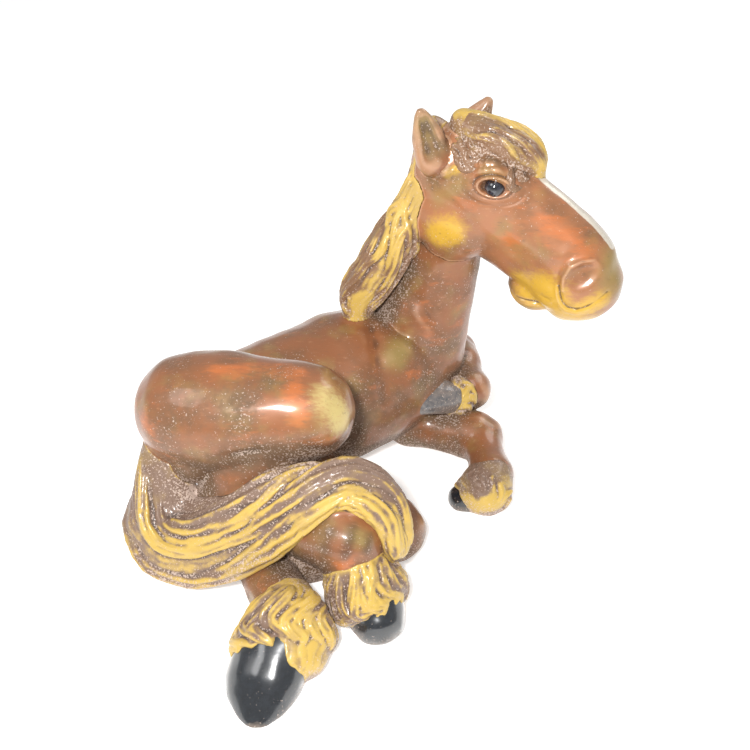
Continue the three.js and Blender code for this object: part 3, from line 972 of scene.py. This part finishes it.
YELLOW = {
    "tail": [
        ([(-171, -60, 34), (-144, -74, 28), (-102, -82, 50), (-62, -84, 74), (-23, -80, 86), (6, -84, 70)],
         36, 0.84),
    ],
    "forelock": [
        ([(70, 133, 312), (91, 127, 306), (111, 121, 300), (126, 114, 288), (130, 110, 276)], 15, 1.0),
    ],
    "mane": [
        ([(40, 128, 262), (28, 118, 232), (8, 108, 200)], 22, 0.75),
        ([(-16, 96, 142), (-10, 100, 158)], 13, 0.8),
        ([(44, 136, 290), (-19, 112, 129)], 60, 0.46),
    ],
    "fore_feather_right": [([(84, -6, 16), (95, -8, 20), (107, 2, 20)], 13, 1.0)],
    "fore_feather_left": [
        ([tuple(left_fetlock + (6, -12, 6)), tuple(left_fetlock + (-6, -12, 8))], 16, 0.9),
    ],
}
BROWN_HAIR = 0.1
OPEN_HAIR = 0.58


def sprayed(spots, places):
    amount = np.zeros(len(places))
    for line, reach, strength in spots:
        amount = np.maximum(amount, strength * np.exp(-(near_line(places, line) / reach) ** 2))
    return amount


for node, piece in pieces.items():
    if node.startswith("eye"):
        continue
    places = points(piece) / MM
    if node in YELLOW:
        paint(piece, "yellow", np.maximum(BROWN_HAIR, sprayed(YELLOW[node], places)))
    elif node in HAIR:
        paint(piece, "yellow", np.full(len(places), OPEN_HAIR))
    elif node == "head":
        places = in_head(points(piece))
        places[:, 1] = -abs(places[:, 1])
        for colour, spots in FACE_SPRAYS.items():
            paint(piece, colour, sprayed(spots, places))
    else:
        for colour, spots in BODY_SPRAYS.items():
            paint(piece, colour, sprayed(spots, places))
print("spots:", {colour: len(spots) + len(FACE_SPRAYS[colour]) for colour, spots in BODY_SPRAYS.items()})

# %% [markdown]
# A material is a small program of nodes. A Wire stands for one output, and adding or multiplying wires
# makes the Math nodes that do it. A layer lays one more colour over those already there.

# %% Wires and nodes
def maths(operation, swapped=False):
    def combine(self, other):
        first, second = (other, self) if swapped else (self, other)
        return self.finish.node("ShaderNodeMath", {"operation": operation}, {0: first, 1: second})
    return combine


class Wire:
    def __init__(self, finish, socket):
        self.finish = finish
        self.socket = socket

    __add__, __radd__ = maths("ADD"), maths("ADD", True)
    __sub__, __rsub__ = maths("SUBTRACT"), maths("SUBTRACT", True)
    __mul__, __rmul__ = maths("MULTIPLY"), maths("MULTIPLY", True)


class Finish:
    def __init__(self, name, ground):
        self.colour = ground
        self.material = bpy.data.materials.new(name)
        self.material.use_nodes = True
        self.tree = self.material.node_tree
        self.surface = self.tree.nodes["Principled BSDF"]
        self.place = self.node("ShaderNodeTexCoord", {}, {}, "Object")

    def node(self, kind, settings, inputs, output=0):
        made = self.tree.nodes.new(kind)
        for name, value in settings.items():
            setattr(made, name, value)
        for name, value in inputs.items():
            self.feed(made.inputs[name], value)
        return Wire(self, made.outputs[output])

    def feed(self, socket, value):
        if isinstance(value, Wire):
            self.tree.links.new(value.socket, socket)
        elif isinstance(value, tuple) and len(value) == 3 and socket.type == "RGBA":
            socket.default_value = (*value, 1)
        else:
            socket.default_value = value

    def noise(self, size, detail=3, roughness=0.5, stretch=(1, 1, 1)):
        place = self.node("ShaderNodeMapping", {}, {"Vector": self.place, "Scale": stretch})
        inputs = {"Vector": place, "Scale": 1 / (size * MM), "Detail": detail, "Roughness": roughness}
        return self.node("ShaderNodeTexNoise", {}, inputs)

    def painted(self, name):
        return self.node("ShaderNodeAttribute", {"attribute_name": name}, {}, "Fac")

    def rising(self, value, low, high):
        return self.node("ShaderNodeMapRange", {"interpolation_type": "SMOOTHSTEP"},
                         {"Value": value, "From Min": low, "From Max": high})

    def mix(self, share, first, second):
        return self.node("ShaderNodeMix", {"data_type": "RGBA"}, {0: share, 6: first, 7: second}, 2)

    def layer(self, share, colour):
        self.colour = self.mix(share, self.colour, colour)

    def bump(self, height, strength, distance):
        inputs = {"Height": height, "Strength": strength, "Distance": distance * MM}
        return self.node("ShaderNodeBump", {}, inputs)

    def give(self, **inputs):
        for name, value in inputs.items():
            self.feed(self.surface.inputs[name.replace("_", " ")], value)


# %% [markdown]
# The chestnut patina is brown over bronze with olive smoke and ember streaks in it, sealed under a gloss
# lacquer. Pinkish dust lies as fine specks where the figure is sheltered and kills the gloss. Where the
# figure is closed in, and on the spots of painted shade, the colour is darkened to a deep brown as painted
# shade, and the gloss drops there too.

# %% Chestnut patina
CHESTNUT = (0.265, 0.10, 0.04)
UMBER = (0.15, 0.08, 0.04)
EMBER_RED = (0.52, 0.15, 0.04)
OLIVE_SMOKE = (0.30, 0.225, 0.07)
GOLD_PAINT = (0.58, 0.345, 0.042)
PALE_GOLD = (0.50, 0.39, 0.15)
CHALK = (0.62, 0.56, 0.47)
DUST = (0.55, 0.43, 0.36)
FACE_CHESTNUT = (0.36, 0.145, 0.062)
GROOVE_BROWN = (0.07, 0.04, 0.025)
RUBBED_BROWN = (0.72, 0.45, 0.28)
SCUFF_DARK = (0.13, 0.085, 0.05)
SCUFF_LIGHT = (0.50, 0.26, 0.13)
# painted shade: the deep brown laid where the figure is closed in
SHADE_AND_DUST_BROWN = (0.115, 0.078, 0.048)


def chestnut_finish(name, ground, gold_colour):
    finish = Finish(name, ground)
    sheltered = finish.painted("shelter")
    # spots of painted shade on the body, dusty brown on the brow
    matte_and_shade_spots = finish.painted("dull")
    proud = finish.painted("relief")
    cloud = finish.noise(34, 3)
    grain = finish.noise(5.5, 4, 0.6)
    streak = finish.noise(9, 5, 0.65, (0.35, 1, 1.3))
    scuff = finish.noise(2.2, 4, 0.7, (0.22, 1, 0.7))
    speck = finish.noise(1.5, 2, 0.6)
    finish.layer(0.7 * finish.rising(cloud, 0.36, 0.72), UMBER)
    smoke = finish.rising(finish.noise(26, 3), 0.5, 0.72)
    finish.layer(smoke * 0.36, OLIVE_SMOKE)
    ember = finish.rising(finish.painted("ember") + (streak - 0.5) * 1.5, 0.3, 0.9)
    stray = finish.rising(streak + (cloud - 0.5) * 0.6, 0.58, 0.78)
    finish.layer(0.75 * ember + 0.4 * stray * (1 - ember), EMBER_RED)
    olive = finish.rising(finish.painted("olive") + (grain - 0.5) * 0.3, 0.15, 0.95)
    finish.layer(0.8 * olive, OLIVE_SMOKE)
    gold = finish.rising(finish.painted("gold") + (grain - 0.5) * 0.35 + (scuff - 0.5) * 0.7, 0.2, 0.85)
    finish.layer(gold, gold_colour)
    blaze = finish.rising(finish.painted("blaze") + (grain - 0.5) * 0.25, 0.35, 0.55)
    finish.layer(blaze, CHALK)
    groove = finish.rising(0 - proud, 0.12, 0.6)
    finish.layer(0.75 * groove, GROOVE_BROWN)
    worn = finish.rising(proud, 0.25, 0.8)
    finish.layer(0.35 * worn, RUBBED_BROWN)
    finish.layer(0.4 * finish.rising(scuff, 0.58, 0.72), SCUFF_DARK)
    finish.layer(0.3 * finish.rising(scuff, 0.42, 0.28), SCUFF_LIGHT)
    # painted shade: the colour darkens where the figure is closed in and on the spots of painted shade; on
    # the brow those spots give a dusty brown
    dust_and_shade_film = finish.rising(sheltered + 0.42 * matte_and_shade_spots + (grain - 0.5) * 0.5 + (cloud - 0.5) * 0.5, 0.1, 0.62)
    finish.layer(0.8 * dust_and_shade_film, SHADE_AND_DUST_BROWN)
    catching = 0.24 * sheltered + 0.04 * matte_and_shade_spots + 0.08 * groove
    dusty = finish.rising(speck + catching + 0.3 * (cloud - 0.5), 0.67, 0.74)
    finish.layer(0.7 * dusty, DUST)
    dull = finish.rising(0.7 * dusty + 0.9 * dust_and_shade_film, 0, 1)
    finish.give(Base_Color=finish.colour, Roughness=0.36 + 0.14 * grain + 0.3 * dull, Metallic=0.1,
                Specular_IOR_Level=0.3, Coat_Weight=0.6 - 0.5 * dull, Coat_Roughness=0.14)
    height = 0.6 * grain + 0.5 * speck * finish.rising(dusty, 0.1, 0.9)
    finish.give(Normal=finish.bump(height, 0.35, 0.25))
    return finish.material


# %% [markdown]
# The hair is brown underneath. Ochre yellow is wiped over the raised locks, in bands that run with the
# locks, and most strongly in the places kept as yellow. The grooves keep the dark ground and the dust. Where
# the hair is closed in, its colour is darkened to a grey brown as painted shade.

# %% Flaxen hair
HAIR_BROWN = (0.19, 0.12, 0.085)
HAIR_YELLOW = (0.54, 0.36, 0.08)
MANE_BROWN = (0.22, 0.12, 0.065)
MANE_YELLOW = (0.56, 0.37, 0.085)
OCHRE_SMOKE = (0.34, 0.23, 0.09)
HAIR_GROOVE = (0.075, 0.05, 0.04)
# painted shade for the hair: grey brown where it is closed in
HAIR_PAINTED_SHADE = (0.19, 0.13, 0.10)


def flaxen_finish(name, brown, bright):
    finish = Finish(name, brown)
    sheltered = finish.painted("shelter")
    proud = finish.painted("relief")
    cloud = finish.noise(22, 3)
    grain = finish.noise(4.5, 4, 0.6)
    speck = finish.noise(1.5, 2, 0.6)
    open_hair = finish.painted("yellow")
    lit = 0.8 * proud + (grain - 0.5) * 1.1 + (cloud - 0.5) * 1.6 + 2.4 * (open_hair - 0.55)
    lit = lit + 0.55 * finish.painted("band")
    finish.layer(finish.rising(lit, -0.45, 0.55), bright)
    finish.layer(finish.rising(cloud, 0.5, 0.7) * 0.45, OCHRE_SMOKE)
    groove = finish.rising(0 - proud, 0.15, 0.9)
    finish.layer(0.85 * groove, HAIR_GROOVE)
    # painted shade: the hair darkens where it is closed in
    dust_and_shade_film = finish.rising(sheltered + (grain - 0.5) * 0.4, 0.3, 0.95)
    finish.layer(0.55 * dust_and_shade_film, HAIR_PAINTED_SHADE)
    dusty = finish.rising(speck + 0.26 * sheltered + 0.12 * groove - 0.08 * open_hair, 0.59, 0.67)
    finish.layer(0.8 * dusty, DUST)
    finish.give(Base_Color=finish.colour, Roughness=0.42 + 0.15 * grain + 0.25 * dusty, Metallic=0.05,
                Specular_IOR_Level=0.3, Coat_Weight=0.4 - 0.35 * dusty, Coat_Roughness=0.16)
    finish.give(Normal=finish.bump(0.7 * grain + 0.5 * speck * dusty, 0.4, 0.3))
    return finish.material


# %% [markdown]
# The hooves are blue black under a clear gloss, greyer where dust has settled. The eyes are black
# lacquer, almost a mirror. The rings inside are bronze as it comes from the mould.

# %% Black hooves, eyes and raw bronze
HOOF_BLACK = (0.009, 0.011, 0.014)
HOOF_GREY = (0.09, 0.09, 0.095)
HOOF_FILM = (0.20, 0.15, 0.115)
EYE_BLACK = (0.006, 0.006, 0.009)
EYE_SHEEN = (0.03, 0.032, 0.045)
BRONZE = (0.36, 0.22, 0.09)
BRONZE_SHADE = (0.22, 0.13, 0.06)


def hoof_finish(name, ground, dust_share):
    finish = Finish(name, ground)
    grain = finish.noise(4, 4, 0.6)
    speck = finish.noise(1.5, 2, 0.6)
    sheltered = finish.painted("shelter")
    finish.layer(finish.rising(grain, 0.4, 0.7), tuple(1.7 * c for c in ground))
    dust_and_shade_film = finish.rising(sheltered + dust_share + (grain - 0.5) * 0.7, 0.35, 0.85)
    finish.layer(0.7 * dust_and_shade_film, HOOF_FILM)
    dusty = finish.rising(speck + 0.15 * sheltered + 0.16 * dust_share, 0.71, 0.77)
    finish.layer(0.8 * dusty, DUST)
    finish.give(Base_Color=finish.colour, Roughness=0.24 + 0.35 * dust_and_shade_film,
                Coat_Weight=1.0 - 0.8 * dust_and_shade_film, Coat_Roughness=0.16)
    finish.give(Normal=finish.bump(grain + speck * dusty, 0.25, 0.2))
    return finish.material


def eye_finish(name):
    finish = Finish(name, EYE_BLACK)
    mottle = finish.noise(2.5, 3)
    finish.layer(finish.rising(mottle, 0.4, 0.65), EYE_SHEEN)
    finish.give(Base_Color=finish.colour, Roughness=0.08 + 0.05 * mottle,
                Coat_Weight=1.0, Coat_Roughness=0.03)
    return finish.material


def bronze_finish(name):
    finish = Finish(name, BRONZE)
    grain = finish.noise(3, 4, 0.6)
    finish.layer(finish.rising(grain, 0.35, 0.65), BRONZE_SHADE)
    finish.give(Base_Color=finish.colour, Roughness=0.4 + 0.2 * grain, Metallic=1.0)
    finish.give(Normal=finish.bump(grain, 0.5, 0.3))
    return finish.material


# %% [markdown]
# Each finish is made once and given to its pieces.

# %% Give each piece its finish
skin_patina = chestnut_finish("chestnut_patina", CHESTNUT, PALE_GOLD)
face_patina = chestnut_finish("face_patina", FACE_CHESTNUT, GOLD_PAINT)
hair_patina = flaxen_finish("flaxen_hair", HAIR_BROWN, HAIR_YELLOW)
mane_patina = flaxen_finish("flaxen_mane", MANE_BROWN, MANE_YELLOW)
hoof_patina = hoof_finish("black_hoof", HOOF_BLACK, 0.0)
dusty_hoof_patina = hoof_finish("dusty_hoof", HOOF_GREY, 0.5)
eye_gloss = eye_finish("eye_gloss")
raw_bronze = bronze_finish("raw_bronze")

for node, piece in pieces.items():
    piece.data.materials.clear()
    if node.startswith("eye"):
        material, slot = eye_gloss, "eye_black"
    elif node in ("mane", "forelock"):
        material, slot = mane_patina, "flaxen_patina"
    elif node in HAIR:
        material, slot = hair_patina, "flaxen_patina"
    elif node == "fore_hoof_left":
        material, slot = dusty_hoof_patina, "blackened_patina"
    elif "hoof" in node:
        material, slot = hoof_patina, "blackened_patina"
    elif node == "head":
        material, slot = face_patina, "chestnut_patina"
    else:
        material, slot = skin_patina, "chestnut_patina"
    piece.data.materials.append(material)
for node in RINGS:
    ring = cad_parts[node]
    ring.data.materials.clear()
    ring.data.materials.append(raw_bronze)
print("patinated:", len(pieces) + len(RINGS), "pieces")

# %% [markdown]
# The sections are welded, so every piece rides on the one body of the frame, and each stands in for
# the plain section of the same name.

# %% Hang the pieces on the frame
for node, piece in pieces.items():
    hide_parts(node)
    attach(piece, "root")
print("hung on root:", len(pieces), "pieces")

# %% [markdown]
# Last, the box of the imported sections is printed.

# %% Print the box
print("packed box:", cad_box)
